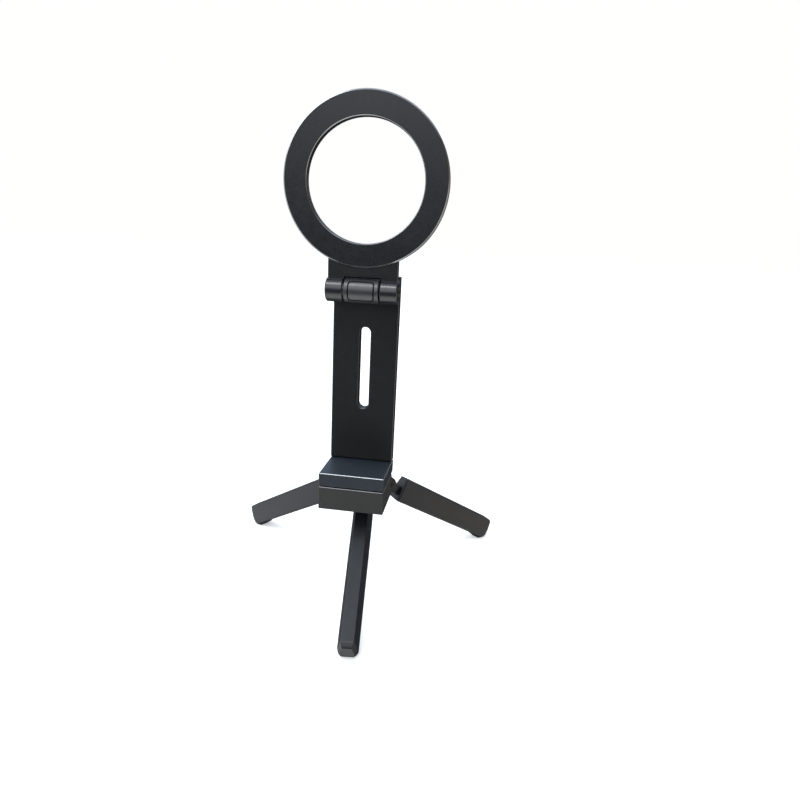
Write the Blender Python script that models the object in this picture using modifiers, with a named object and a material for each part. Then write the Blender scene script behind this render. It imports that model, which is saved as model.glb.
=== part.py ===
"""A folding magnetic-ring phone stand: a ring head on a friction hinge, a slotted arm on a two-piece foot,
and a three-legged folding base that the foot screws onto.

Metres, +Z up, the ring faces -Y. Everything hangs from one empty, which puts the middle of the stand's
footprint at the origin, on the floor.
"""

import math

import bmesh
import bpy
from mathutils import Matrix, Vector

# Heights above the floor
BLOCK_BOTTOM = 0.0410
BLOCK_HEIGHT = 0.0094
SLAB_BOTTOM = 0.0507
SLAB_HEIGHT = 0.0054
SLAB_TOP = SLAB_BOTTOM + SLAB_HEIGHT
HINGE_HEIGHT = 0.1259
RING_RISE = 0.0384  # from the hinge axis to the ring's centre

# Ring head: depths are measured from the hinge axis, the front is negative
RING_OUTER = 0.0300
RING_INNER = 0.02135
COVER_FRONT = -0.0022
COVER_BACK = -0.0016
FRAME_FRONT = -0.0014
FRAME_BACK = 0.0016
CHANNEL_FLOOR = 0.0010
CHANNEL_INNER = 0.0226
CHANNEL_OUTER = 0.0287
MAGNET_COUNT = 12
MAGNET_GAP = math.radians(2.0)
RING_STEPS = 64

# Hinge
BARREL_RADIUS = 0.00454
BARREL_HALF = 0.01354
CENTRE_HALF = 0.00655
SIDE_INNER = 0.00695
PIN_RADIUS = 0.0015
BORE_RADIUS = 0.0017
COVER_WIDTH = 0.0094
COVER_HEIGHT = 0.0066
HEAD_POCKET_RADIUS = 0.0030
HEAD_POCKET_DEPTH = 0.0018
WASHER_RADIUS = 0.0029
WASHER_SEAT_RADIUS = 0.0032
WASHER_SEAT_DEPTH = 0.0007
WEB_RISE = 0.0022  # the web behind the centre knuckle, above and below the axis
WEB_DROP = 0.0036
NECK_HALF = 0.01315
NECK_FOOT = 0.00495  # gap of the neck over the centre knuckle, from the axis

# Arm
ARM_HALF = 0.01290
ARM_FRONT = 0.0073
ARM_BACK = 0.0117
ARM_TOP = HINGE_HEIGHT + 0.0053
ARM_BOTTOM = SLAB_TOP + 0.0003
SLOT_HALF = 0.00218
SLOT_BOTTOM = 0.0783
SLOT_TOP = 0.1113

# Foot
FOOT_HALF = 0.01296
FOOT_FRONT = -0.0110
SLAB_BACK = ARM_BACK
BLOCK_BACK = 0.0099
TONGUE_HALF = 0.0095
EDGE = 0.0004  # chamfer on the machined edges
ARM_SCREW_X = 0.0070
ARM_SCREW_Y = (ARM_FRONT + ARM_BACK) / 2
BLOCK_SCREW_X = 0.0085
BLOCK_SCREW_Y = -0.0040
CLEARANCE_RADIUS = 0.0017
THREAD_RADIUS = 0.0015
SCREW_SEAT_RADIUS = 0.0031
SCREW_SEAT_DEPTH = 0.0023
INSERT_RADIUS = 0.0045
INSERT_HOLE_RADIUS = 0.0048

# Tripod
HUB_Y = 0.0230
HUB_TURN = math.radians(6.5)
HUB_TOP = 0.0422
HUB_BOTTOM = 0.0345
HUB_RADIUS = 0.0092
PIVOT_RADIUS = 0.0095
PIVOT_HEIGHT = 0.0382
EAR_RADIUS = 0.0035
EAR_HALF = 0.0039
TONGUE_GAP = 0.0020
LEG_TONGUE_HALF = 0.0017
LEG_TONGUE_RADIUS = 0.0032
LEG_LENGTH = 0.0685  # pivot to tip
LEG_START = 0.0078
LEG_SLOPE = math.radians(30.3)
LEG_ROOT_HALF = 0.00410
LEG_TIP_HALF = 0.00385
LEG_ROOT_DEPTH = 0.0054
LEG_TIP_DEPTH = 0.0049
PIVOT_PIN_RADIUS = 0.0012
STUD_RADIUS = 0.0031
LOCK_RING_RADIUS = 0.0093
LOCK_RING_RIDGES = 24
LEGS = {"front": 0.0, "left": -120.0, "right": 120.0}
HEAD_PAD_BOTTOM = SLAB_BOTTOM - 0.0013
HEAD_PAD_RADIUS = 0.0088
LOCK_RING_BOTTOM = HUB_TOP + 0.0004
HUB_BORE = STUD_RADIUS + 0.0002
HUB_NUT_RADIUS = 0.0048
HUB_NUT_SEAT_RADIUS = 0.0052
HUB_NUT_SEAT_DEPTH = 0.0016
FOOT_PAD_START = LEG_LENGTH - 0.0071
FOOT_PAD_END = LEG_LENGTH - 0.0017
FOOT_PAD_HALF = 0.0026
FOOT_PAD_TOP = -LEG_TIP_DEPTH - 0.00012
FOOT_PAD_SWELL = 0.0011  # how far it stands proud of the leg's underside

MERGE = 0.00001
PAST = 0.001  # how far a cutter runs past the face it opens
AXIS_TURN = {"X": (0, math.pi / 2, 0), "Y": (math.pi / 2, 0, 0), "Z": (0, 0, 0)}
FACING_FRONT = (math.pi / 2, 0, 0)  # an outline's X and Y become the world's X and Z
FLAT = (0, 0, 0)
SIDES = (("left", -1), ("right", 1))


def clear_scene():
    for obj in list(bpy.data.objects):
        bpy.data.objects.remove(obj, do_unlink=True)


def make_collection(name):
    collection = bpy.data.collections.new(name)
    bpy.context.scene.collection.children.link(collection)
    return collection


def make_material(name, colour, roughness, metallic):
    material = bpy.data.materials.new(name)
    material.use_nodes = True
    shader = material.node_tree.nodes["Principled BSDF"]
    shader.inputs["Base Color"].default_value = (*colour, 1.0)
    shader.inputs["Roughness"].default_value = roughness
    shader.inputs["Metallic"].default_value = metallic
    return material


clear_scene()
PARTS = make_collection("magnetic_ring_stand")
CUTTERS = make_collection("cutters")
CUTTERS.hide_render = True

BLACK_METAL = make_material("black_metal", (0.035, 0.038, 0.042), 0.45, 0.6)
BLACK_FACE = make_material("black_face", (0.030, 0.032, 0.036), 0.55, 0.2)
LEG_METAL = make_material("leg_metal", (0.060, 0.062, 0.068), 0.40, 0.7)
STEEL = make_material("steel", (0.55, 0.55, 0.56), 0.30, 1.0)
MAGNET = make_material("magnet", (0.62, 0.61, 0.58), 0.25, 1.0)
BRASS = make_material("brass", (0.70, 0.55, 0.28), 0.35, 1.0)
RUBBER = make_material("rubber", (0.020, 0.020, 0.021), 0.85, 0.0)


def make_empty(name, location, parent=None, turn=0.0):
    empty = bpy.data.objects.new(name, None)
    empty.empty_display_size = 0.01
    empty.location = location
    empty.rotation_euler = (0.0, 0.0, turn)
    empty.parent = parent
    PARTS.objects.link(empty)
    return empty


def add_mesh(name, bm, material, parent, location=(0, 0, 0), rotation=(0, 0, 0)):
    """An object from a bmesh. With no material it is a helper, and goes with the cutters."""
    mesh = bpy.data.meshes.new(name)
    bmesh.ops.recalc_face_normals(bm, faces=bm.faces)
    bm.to_mesh(mesh)
    bm.free()
    obj = bpy.data.objects.new(name, mesh)
    obj.location = location
    obj.rotation_euler = rotation
    obj.parent = parent
    if material:
        mesh.materials.append(material)
        PARTS.objects.link(obj)
    else:
        CUTTERS.objects.link(obj)
        obj.hide_render = True
        obj.display_type = "WIRE"
    return obj


def smooth(obj, degrees=35):
    obj.data.shade_smooth()
    obj.data.set_sharp_from_angle(angle=math.radians(degrees))


def chamfer(obj, width=EDGE, segments=1):
    bevel = obj.modifiers.new("edges", "BEVEL")
    bevel.width = width
    bevel.segments = segments
    bevel.limit_method = "ANGLE"
    bevel.angle_limit = math.radians(40)


def block(name, low, high, material, parent):
    """A box between two corners, with its origin in its middle."""
    low, high = Vector(low), Vector(high)
    bm = bmesh.new()
    bmesh.ops.create_cube(bm, size=1.0)
    bmesh.ops.scale(bm, vec=high - low, verts=bm.verts)
    return add_mesh(name, bm, material, parent, (low + high) / 2)


def rod(name, radius, start, end, axis, centre, parent, sides=24):
    """A helper cylinder from start to end along an axis through centre."""
    centre = Vector(centre)
    along = {"X": Vector((1, 0, 0)), "Y": Vector((0, 1, 0)), "Z": Vector((0, 0, 1))}[axis]
    bm = bmesh.new()
    bmesh.ops.create_cone(
        bm, cap_ends=True, segments=sides, radius1=radius, radius2=radius, depth=end - start
    )
    middle = centre + along * (start + end) / 2
    return add_mesh(name, bm, None, parent, middle, AXIS_TURN[axis])


def turned(name, profile, closed, steps, axis, centre, material, parent):
    """A profile of (radius, height) points turned about its own Z, which AXIS_TURN lays along the axis."""
    mesh = bpy.data.meshes.new(name)
    points = [(radius, 0.0, height) for radius, height in profile]
    edges = [(i, i + 1) for i in range(len(points) - 1)]
    if closed:
        edges.append((len(points) - 1, 0))
    mesh.from_pydata(points, edges, [])
    obj = bpy.data.objects.new(name, mesh)
    screw = obj.modifiers.new("turn", "SCREW")
    screw.steps = steps
    screw.render_steps = steps
    screw.use_merge_vertices = True
    screw.merge_threshold = MERGE
    obj.location = centre
    obj.rotation_euler = AXIS_TURN[axis]
    obj.parent = parent
    mesh.materials.append(material)
    PARTS.objects.link(obj)
    return obj


def arc(centre, radius, start, end, count):
    """Points on an arc, angles in degrees, both ends included."""
    angles = [math.radians(start + (end - start) * i / count) for i in range(count + 1)]
    return [(centre[0] + radius * math.cos(a), centre[1] + radius * math.sin(a)) for a in angles]


def rounded_rectangle(width, height, radius, count=4):
    x, y = width / 2 - radius, height / 2 - radius
    corners = (((x, y), 0), ((-x, y), 90), ((-x, -y), 180), ((x, -y), 270))
    return [p for centre, start in corners for p in arc(centre, radius, start, start + 90, count)]


def plate(name, outline, thickness, centre, rotation, material, parent):
    """A flat outline, extruded half its thickness each way, as a welded mesh."""
    curve = bpy.data.curves.new(name + "_outline", "CURVE")
    curve.dimensions = "2D"
    curve.fill_mode = "BOTH"
    curve.extrude = thickness / 2
    spline = curve.splines.new("POLY")
    spline.points.add(len(outline) - 1)
    for point, (x, y) in zip(spline.points, outline):
        point.co = (x, y, 0.0, 1.0)
    spline.use_cyclic_u = True
    drawn = bpy.data.objects.new(name + "_outline", curve)
    bpy.context.scene.collection.objects.link(drawn)
    graph = bpy.context.evaluated_depsgraph_get()
    mesh = bpy.data.meshes.new_from_object(drawn.evaluated_get(graph))
    bpy.data.objects.remove(drawn, do_unlink=True)
    bm = bmesh.new()
    bm.from_mesh(mesh)
    bpy.data.meshes.remove(mesh)
    bmesh.ops.remove_doubles(bm, verts=bm.verts, dist=MERGE)
    return add_mesh(name, bm, material, parent, centre, rotation)


def boolean(obj, other, operation):
    modifier = obj.modifiers.new(other.name, "BOOLEAN")
    modifier.operation = operation
    modifier.solver = "EXACT"
    modifier.object = other


def cut(obj, *others):
    for other in others:
        boolean(obj, other, "DIFFERENCE")


def join(obj, *others):
    for other in others:
        boolean(obj, other, "UNION")


def loft(name, sections, material, parent):
    """A closed skin over sections, each a list of the same number of points in a ring."""
    bm = bmesh.new()
    rings = [[bm.verts.new(point) for point in section] for section in sections]
    for first, second in zip(rings, rings[1:]):
        for i in range(len(first)):
            j = (i + 1) % len(first)
            bm.faces.new((first[i], first[j], second[j], second[i]))
    bm.faces.new(rings[0])
    bm.faces.new(rings[-1])
    return add_mesh(name, bm, material, parent)


# ---------------------------------------------------------------- ring head


def make_ring_cover(parent):
    """The front annular face, chamfered on both edges."""
    edge = 0.0004
    front, back = -COVER_FRONT, -COVER_BACK
    profile = [
        (RING_INNER, back),
        (RING_INNER, front - edge),
        (RING_INNER + edge, front),
        (RING_OUTER - edge, front),
        (RING_OUTER, front - edge),
        (RING_OUTER, back),
    ]
    cover = turned("ring_cover", profile, True, RING_STEPS, "Y", (0, 0, RING_RISE), BLACK_FACE, parent)
    smooth(cover)


def make_ring_frame(parent):
    """The back of the ring, its neck and the two outer knuckles, in one casting."""
    edge = 0.0005
    front, back, floor = -FRAME_FRONT, -FRAME_BACK, -CHANNEL_FLOOR
    profile = [
        (CHANNEL_OUTER, front),
        (RING_OUTER, front),
        (RING_OUTER, back + edge),
        (RING_OUTER - edge, back),
        (RING_INNER + edge, back),
        (RING_INNER, back + edge),
        (RING_INNER, front),
        (CHANNEL_INNER, front),
        (CHANNEL_INNER, floor),
        (CHANNEL_OUTER, floor),
    ]
    centre = (0, 0, RING_RISE)
    frame = turned("ring_frame", profile, True, RING_STEPS, "Y", centre, BLACK_METAL, parent)
    join(frame, make_neck(parent))
    axis = (0, 0, 0)
    for side, sign in SIDES:
        inner, outer = sorted((sign * SIDE_INNER, sign * BARREL_HALF))
        knuckle = rod(f"{side}_knuckle_body", BARREL_RADIUS, inner, outer, "X", axis, parent, 32)
        chamfer(knuckle, 0.0003)
        join(frame, knuckle)
    for side, sign in SIDES:
        start, end = sorted((sign * (BARREL_HALF - HEAD_POCKET_DEPTH), sign * (BARREL_HALF + PAST)))
        cut(frame, rod(f"{side}_head_pocket", HEAD_POCKET_RADIUS, start, end, "X", axis, parent))
        start, end = sorted((sign * (SIDE_INNER - PAST), sign * (SIDE_INNER + WASHER_SEAT_DEPTH)))
        cut(frame, rod(f"{side}_washer_seat", WASHER_SEAT_RADIUS, start, end, "X", axis, parent))
    reach = BARREL_HALF + PAST
    cut(frame, rod("frame_bore", BORE_RADIUS, -reach, reach, "X", axis, parent))
    smooth(frame)


def make_neck(parent):
    """The neck: straight sides, a concave top inside the ring's rim, a notch over the centre knuckle."""
    rim = (RING_OUTER + CHANNEL_OUTER) / 2
    reach = math.degrees(math.acos(NECK_HALF / rim))
    top = arc((0, RING_RISE), rim, -reach, reach - 180, 16)
    outline = [(SIDE_INNER, 0), (NECK_HALF, 0)] + top
    outline += [(-NECK_HALF, 0), (-SIDE_INNER, 0), (-SIDE_INNER, NECK_FOOT), (SIDE_INNER, NECK_FOOT)]
    depth = FRAME_BACK - FRAME_FRONT
    middle = (FRAME_BACK + FRAME_FRONT) / 2
    return plate("neck_body", outline, depth, (0, middle, 0), FACING_FRONT, None, parent)


def annular_sector(inner, outer, start, end, count):
    return arc((0, 0), outer, start, end, count) + arc((0, 0), inner, end, start, count)


def make_magnets(parent):
    """Arc magnets in the channel, over a thin steel ring that closes their field behind."""
    shunt_front, shunt_back = -0.0003, -0.0007
    inner, outer = CHANNEL_INNER + 0.0003, CHANNEL_OUTER - 0.0003
    profile = [(outer, shunt_front), (outer, shunt_back), (inner, shunt_back), (inner, shunt_front)]
    turned("shunt_ring", profile, True, 48, "Y", (0, 0, RING_RISE), STEEL, parent)
    span = 360 / MAGNET_COUNT
    gap = math.degrees(MAGNET_GAP) / 2
    for i in range(MAGNET_COUNT):
        outline = annular_sector(inner, outer, i * span + gap, (i + 1) * span - gap, 5)
        plate(f"magnet_{i + 1:02d}", outline, 0.0009, (0, -0.00055, RING_RISE), FACING_FRONT, MAGNET, parent)


def make_hinge_hardware(parent):
    """The hinge screw, its sleeve nut, and the two friction washers beside the centre knuckle."""
    head, head_start = 0.0027, -BARREL_HALF + 0.0003
    neck_at, screw_end = -BARREL_HALF + 0.0015, BARREL_HALF - 0.0006
    profile = [
        (0, screw_end),
        (PIN_RADIUS - 0.0002, screw_end),
        (PIN_RADIUS, screw_end - 0.0002),
        (PIN_RADIUS, neck_at),
        (head, neck_at),
        (head, head_start + 0.0002),
        (head - 0.0002, head_start),
        (0.0010, head_start),
        (0.0010, head_start + 0.0008),
        (0, head_start + 0.0008),
    ]
    screw = turned("hinge_screw", profile, False, 24, "X", (0, 0, 0), STEEL, parent)
    smooth(screw)
    nut_start, nut_end = BARREL_HALF - 0.0015, BARREL_HALF - 0.0003
    profile = [
        (PIN_RADIUS + 0.0002, nut_end),
        (head - 0.0002, nut_end),
        (head, nut_end - 0.0002),
        (head, nut_start),
        (PIN_RADIUS + 0.0002, nut_start),
    ]
    nut = turned("hinge_nut", profile, True, 24, "X", (0, 0, 0), STEEL, parent)
    smooth(nut)
    for side, sign in SIDES:
        near, far = sorted((sign * (CENTRE_HALF + 0.0002), sign * (SIDE_INNER + 0.0005)))
        profile = [
            (WASHER_RADIUS, far),
            (WASHER_RADIUS, near),
            (BORE_RADIUS, near),
            (BORE_RADIUS, far),
        ]
        washer = turned(f"friction_washer_{side}", profile, True, 24, "X", (0, 0, 0), STEEL, parent)
        smooth(washer)


# ---------------------------------------------------------------- arm and foot


def make_arm(parent):
    """The slotted arm, with the hinge's centre knuckle on a web at its top."""
    hinge = (0, 0, HINGE_HEIGHT)
    arm = block(
        "arm", (-ARM_HALF, ARM_FRONT, ARM_BOTTOM), (ARM_HALF, ARM_BACK, ARM_TOP), BLACK_METAL, parent
    )
    chamfer(arm)
    web = block(
        "web_body",
        (-CENTRE_HALF + 0.0002, 0.0, HINGE_HEIGHT - WEB_DROP),
        (CENTRE_HALF - 0.0002, ARM_FRONT + 0.001, HINGE_HEIGHT + WEB_RISE),
        None,
        parent,
    )
    knuckle = rod("centre_knuckle_body", BARREL_RADIUS, -CENTRE_HALF, CENTRE_HALF, "X", hinge, parent, 32)
    chamfer(knuckle, 0.0002)
    join(arm, web, knuckle)
    low, high = SLOT_BOTTOM + SLOT_HALF, SLOT_TOP - SLOT_HALF
    outline = arc((0, high), SLOT_HALF, 0, 180, 12) + arc((0, low), SLOT_HALF, 180, 360, 12)
    middle = (0, (ARM_FRONT + ARM_BACK) / 2, 0)
    slot = plate("slot_cutter", outline, 0.010, middle, FACING_FRONT, None, parent)
    reach = CENTRE_HALF + PAST
    bore = rod("arm_bore", BORE_RADIUS, -reach, reach, "X", hinge, parent)
    outline = rounded_rectangle(COVER_WIDTH + 0.0005, COVER_HEIGHT + 0.0005, 0.0013)
    depth, floor = 0.0040, -0.00215
    middle = (0, floor - depth / 2, HINGE_HEIGHT)
    pocket = plate("cover_pocket", outline, depth, middle, FACING_FRONT, None, parent)
    cut(arm, slot, bore, pocket)
    for side, sign in SIDES:
        centre = (sign * ARM_SCREW_X, ARM_SCREW_Y, 0)
        low, high = ARM_BOTTOM - PAST, ARM_BOTTOM + 0.0075
        cut(arm, rod(f"arm_{side}_hole", THREAD_RADIUS, low, high, "Z", centre, parent, 20))
    smooth(arm)


def make_hinge_cover(parent):
    """A plain cover let into the centre knuckle: its face follows the barrel."""
    back = -0.0024
    depth = 0.0030
    cover = plate(
        "hinge_cover",
        rounded_rectangle(COVER_WIDTH, COVER_HEIGHT, 0.0011),
        depth,
        (0, back - depth / 2, HINGE_HEIGHT),
        FACING_FRONT,
        BLACK_METAL,
        parent,
    )
    skin = BARREL_RADIUS + 0.0001
    barrel = rod("cover_face_body", skin, -0.01, 0.01, "X", (0, 0, HINGE_HEIGHT), parent, 64)
    boolean(cover, barrel, "INTERSECT")
    smooth(cover)


def make_slab(parent):
    """The foot's upper plate: a ledge in front of the arm, and a round tongue behind for the tripod screw."""
    tongue = arc((0, HUB_Y), TONGUE_HALF, 0, 180, 20)
    outline = [(FOOT_HALF, FOOT_FRONT), (FOOT_HALF, SLAB_BACK), (TONGUE_HALF, SLAB_BACK)]
    outline += tongue
    outline += [(-TONGUE_HALF, SLAB_BACK), (-FOOT_HALF, SLAB_BACK), (-FOOT_HALF, FOOT_FRONT)]
    middle = SLAB_BOTTOM + SLAB_HEIGHT / 2
    slab = plate("foot_slab", outline, SLAB_HEIGHT, (0, 0, middle), FLAT, BLACK_METAL, parent)
    chamfer(slab)
    below, above = SLAB_BOTTOM - PAST, SLAB_TOP + PAST
    hub = (0, HUB_Y, 0)
    cut(slab, rod("insert_hole", INSERT_HOLE_RADIUS, below, above, "Z", hub, parent))
    seat_top = SLAB_BOTTOM + SCREW_SEAT_DEPTH
    thread_top = SLAB_BOTTOM + 0.0041
    for side, sign in SIDES:
        centre = (sign * ARM_SCREW_X, ARM_SCREW_Y, 0)
        through = rod(f"slab_{side}_hole", CLEARANCE_RADIUS, below, above, "Z", centre, parent, 20)
        seat = rod(f"slab_{side}_seat", SCREW_SEAT_RADIUS, below, seat_top, "Z", centre, parent)
        centre = (sign * BLOCK_SCREW_X, BLOCK_SCREW_Y, 0)
        thread = rod(f"slab_{side}_thread", THREAD_RADIUS, below, thread_top, "Z", centre, parent, 20)
        cut(slab, through, seat, thread)
    smooth(slab)


def make_block(parent):
    """The lower block under the slab, held by two cap screws from below."""
    top = BLOCK_BOTTOM + BLOCK_HEIGHT
    low, high = (-FOOT_HALF, FOOT_FRONT, BLOCK_BOTTOM), (FOOT_HALF, BLOCK_BACK, top)
    foot = block("foot_block", low, high, BLACK_METAL, parent)
    chamfer(foot)
    below, above = BLOCK_BOTTOM - PAST, top + PAST
    seat_top = BLOCK_BOTTOM + SCREW_SEAT_DEPTH
    for side, sign in SIDES:
        centre = (sign * BLOCK_SCREW_X, BLOCK_SCREW_Y, 0)
        through = rod(f"block_{side}_hole", CLEARANCE_RADIUS, below, above, "Z", centre, parent, 20)
        seat = rod(f"block_{side}_seat", SCREW_SEAT_RADIUS, below, seat_top, "Z", centre, parent)
        cut(foot, through, seat)


def cap_screw(name, centre, head_bottom, end, parent):
    """A low cap screw standing on its head, with a hex socket in the underside."""
    head_top = head_bottom + 0.0017
    shank, head, socket = 0.00135, 0.0027, 0.0012
    profile = [
        (0, end),
        (shank - 0.0002, end),
        (shank, end - 0.0002),
        (shank, head_top),
        (head, head_top),
        (head, head_bottom + 0.0002),
        (head - 0.0002, head_bottom),
        (socket, head_bottom),
        (socket, head_bottom + 0.0009),
        (0, head_bottom + 0.0009),
    ]
    screw = turned(name, profile, False, 16, "Z", centre, STEEL, parent)
    smooth(screw)


def make_foot_screws(parent):
    for side, sign in SIDES:
        centre = (sign * ARM_SCREW_X, ARM_SCREW_Y, 0)
        cap_screw(f"arm_screw_{side}", centre, SLAB_BOTTOM + 0.0003, ARM_BOTTOM + 0.0070, parent)
        centre = (sign * BLOCK_SCREW_X, BLOCK_SCREW_Y, 0)
        cap_screw(f"block_screw_{side}", centre, BLOCK_BOTTOM + 0.0003, SLAB_BOTTOM + 0.0037, parent)


def make_thread_insert(parent):
    """The brass bush in the tongue that takes the tripod's stud."""
    bottom, top = SLAB_BOTTOM + 0.0002, SLAB_TOP - 0.0002
    inner, outer = STUD_RADIUS + 0.0002, INSERT_RADIUS
    profile = [(outer, top), (outer, bottom), (inner, bottom), (inner, top)]
    insert = turned("thread_insert", profile, True, 24, "Z", (0, HUB_Y, 0), BRASS, parent)
    smooth(insert)


# ---------------------------------------------------------------- tripod

def make_head_pad(parent):
    """The rubber disc between the lock ring and the foot's tongue."""
    top, bottom = SLAB_BOTTOM - 0.0003, HEAD_PAD_BOTTOM
    inner, outer = STUD_RADIUS + 0.0003, HEAD_PAD_RADIUS
    profile = [(outer, top), (outer, bottom), (inner, bottom), (inner, top)]
    pad = turned("head_pad", profile, True, 32, "Z", (0, 0, 0), RUBBER, parent)
    smooth(pad)


def make_lock_ring(parent):
    """A ridged nut on the stud, turned up against the foot's tongue."""
    ridge = 0.00025
    outline = []
    for i in range(2 * LOCK_RING_RIDGES):
        angle = math.pi * i / LOCK_RING_RIDGES
        radius = LOCK_RING_RADIUS - (i % 2) * ridge
        outline.append((radius * math.cos(angle), radius * math.sin(angle)))
    bottom, top = LOCK_RING_BOTTOM, HEAD_PAD_BOTTOM - 0.0003
    middle = (0, 0, (top + bottom) / 2)
    ring = plate("lock_ring", outline, top - bottom, middle, FLAT, BLACK_METAL, parent)
    low, high = bottom - PAST, top + PAST
    cut(ring, rod("lock_ring_bore", STUD_RADIUS + 0.0003, low, high, "Z", (0, 0, 0), parent))


def make_stud(parent):
    """The tripod screw, which stands up through the lock ring, and the nut under the hub that holds it."""
    top, bottom = SLAB_TOP - 0.0005, HUB_BOTTOM - 0.0012
    step = 0.0004
    profile = [
        (0, top),
        (STUD_RADIUS - step, top),
        (STUD_RADIUS, top - step),
        (STUD_RADIUS, bottom + step),
        (STUD_RADIUS - step, bottom),
        (0, bottom),
    ]
    stud = turned("tripod_stud", profile, False, 24, "Z", (0, 0, 0), STEEL, parent)
    smooth(stud)
    nut_top, nut_bottom = HUB_BOTTOM + 0.0013, HUB_BOTTOM - 0.0009
    bm = bmesh.new()
    bmesh.ops.create_cone(
        bm,
        cap_ends=True,
        segments=6,
        radius1=HUB_NUT_RADIUS,
        radius2=HUB_NUT_RADIUS,
        depth=nut_top - nut_bottom,
    )
    nut = add_mesh("hub_nut", bm, STEEL, parent, (0, 0, (nut_top + nut_bottom) / 2))
    low, high = nut_bottom - PAST, nut_top + PAST
    cut(nut, rod("nut_bore", HUB_BORE, low, high, "Z", (0, 0, 0), parent))


def make_hub(parent):
    """A round core with three forks, each rounded about its leg's pivot."""
    bm = bmesh.new()
    bmesh.ops.create_cone(
        bm,
        cap_ends=True,
        segments=40,
        radius1=HUB_RADIUS,
        radius2=HUB_RADIUS,
        depth=HUB_TOP - HUB_BOTTOM,
    )
    hub = add_mesh("tripod_hub", bm, BLACK_METAL, parent, (0, 0, (HUB_TOP + HUB_BOTTOM) / 2))
    chamfer(hub, 0.0005)
    out = -PIVOT_RADIUS
    pivot = (0, out, 0)
    inset = 0.00005
    axes = {}
    for name, degrees in LEGS.items():
        turn = math.radians(degrees)
        axes[name] = make_empty(f"fork_{name}_axis", (0, 0, PIVOT_HEIGHT), parent, turn)
        ear = rod(f"fork_{name}_ear", EAR_RADIUS, -EAR_HALF, EAR_HALF, "X", pivot, axes[name], 32)
        low = (-EAR_HALF + inset, out, -EAR_RADIUS + 2 * inset)
        high = (EAR_HALF - inset, -0.0040, EAR_RADIUS - 2 * inset)
        join(hub, block(f"fork_{name}_base", low, high, None, axes[name]), ear)
    for name, axis in axes.items():
        low = (-TONGUE_GAP, out - EAR_RADIUS - 0.002, -0.02)
        high = (TONGUE_GAP, out + LEG_TONGUE_RADIUS + 0.0005, 0.02)
        slot = block(f"fork_{name}_slot", low, high, None, axis)
        bore = PIVOT_PIN_RADIUS + 0.0002
        cut(hub, slot, rod(f"fork_{name}_bore", bore, -0.006, 0.006, "X", pivot, axis, 20))
    low, high = HUB_BOTTOM - PAST, HUB_TOP + PAST
    seat_top = HUB_BOTTOM + HUB_NUT_SEAT_DEPTH
    cut(hub, rod("hub_bore", HUB_BORE, low, high, "Z", (0, 0, 0), parent))
    cut(hub, rod("hub_nut_seat", HUB_NUT_SEAT_RADIUS, low, seat_top, "Z", (0, 0, 0), parent))
    smooth(hub)


def leg_section(along, half, depth):
    """A leg's section at a distance from its pivot: a flat top, drafted flanks, upright lower sides."""
    flat = 0.64 * half
    knee = -0.15 * depth
    corner = 0.0006
    right = [
        (flat, depth),
        (half, knee),
        (half, -depth + corner),
        (half - corner, -depth),
    ]
    left = [(-x, z) for x, z in reversed(right)]
    return [Vector((x, -along, z)) for x, z in right + left]


def make_leg(name, pivot):
    """A leg in its hinge's frame, where it runs along -Y before it is sloped down."""
    sections = [
        leg_section(LEG_START, LEG_ROOT_HALF - 0.0004, LEG_ROOT_DEPTH - 0.0003),
        leg_section(LEG_START + 0.0007, LEG_ROOT_HALF, LEG_ROOT_DEPTH),
        leg_section(LEG_LENGTH - 0.0020, LEG_TIP_HALF, LEG_TIP_DEPTH),
        leg_section(LEG_LENGTH, LEG_TIP_HALF - 0.0010, LEG_TIP_DEPTH - 0.0012),
    ]
    leg = loft(f"leg_{name}", sections, LEG_METAL, pivot)
    centre = (0, 0, 0)
    half = LEG_TONGUE_HALF
    eye = rod(f"leg_{name}_eye", LEG_TONGUE_RADIUS, -half, half, "X", centre, pivot, 28)
    inset = 0.00005
    low = (-half + inset, -LEG_START - 0.001, -LEG_TONGUE_RADIUS + 2 * inset)
    high = (half - inset, 0, 0.0012)
    join(leg, block(f"leg_{name}_shank", low, high, None, pivot), eye)
    bore = PIVOT_PIN_RADIUS + 0.0002
    cut(leg, rod(f"leg_{name}_bore", bore, -0.003, 0.003, "X", centre, pivot, 20))
    smooth(leg)


def make_foot_pad(name, pivot):
    """A low rubber pad under the tip, cut off level with the floor on the side that meets it."""
    slope = math.tan(LEG_SLOPE)
    floor_at_end = (FOOT_PAD_END * math.sin(LEG_SLOPE) - PIVOT_HEIGHT) / math.cos(LEG_SLOPE)
    low = -LEG_TIP_DEPTH - FOOT_PAD_SWELL
    heel = 0.0005
    sole_start = FOOT_PAD_END - (floor_at_end - low) / slope
    profile = [
        (FOOT_PAD_START, FOOT_PAD_TOP),
        (FOOT_PAD_START, low + heel),
        (FOOT_PAD_START + heel, low),
        (sole_start, low),
        (FOOT_PAD_END, floor_at_end),
        (FOOT_PAD_END, FOOT_PAD_TOP),
    ]
    sections = []
    for across in (-FOOT_PAD_HALF, FOOT_PAD_HALF):
        sections.append([Vector((across, -along, height)) for along, height in profile])
    loft(f"foot_pad_{name}", sections, RUBBER, pivot)


def make_pivot_pin(name, pivot):
    half, step = EAR_HALF - 0.0002, 0.0002
    profile = [
        (0, half),
        (PIVOT_PIN_RADIUS - step, half),
        (PIVOT_PIN_RADIUS, half - step),
        (PIVOT_PIN_RADIUS, -half + step),
        (PIVOT_PIN_RADIUS - step, -half),
        (0, -half),
    ]
    pin = turned(f"leg_pin_{name}", profile, False, 20, "X", (0, 0, 0), STEEL, pivot)
    smooth(pin)


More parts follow.
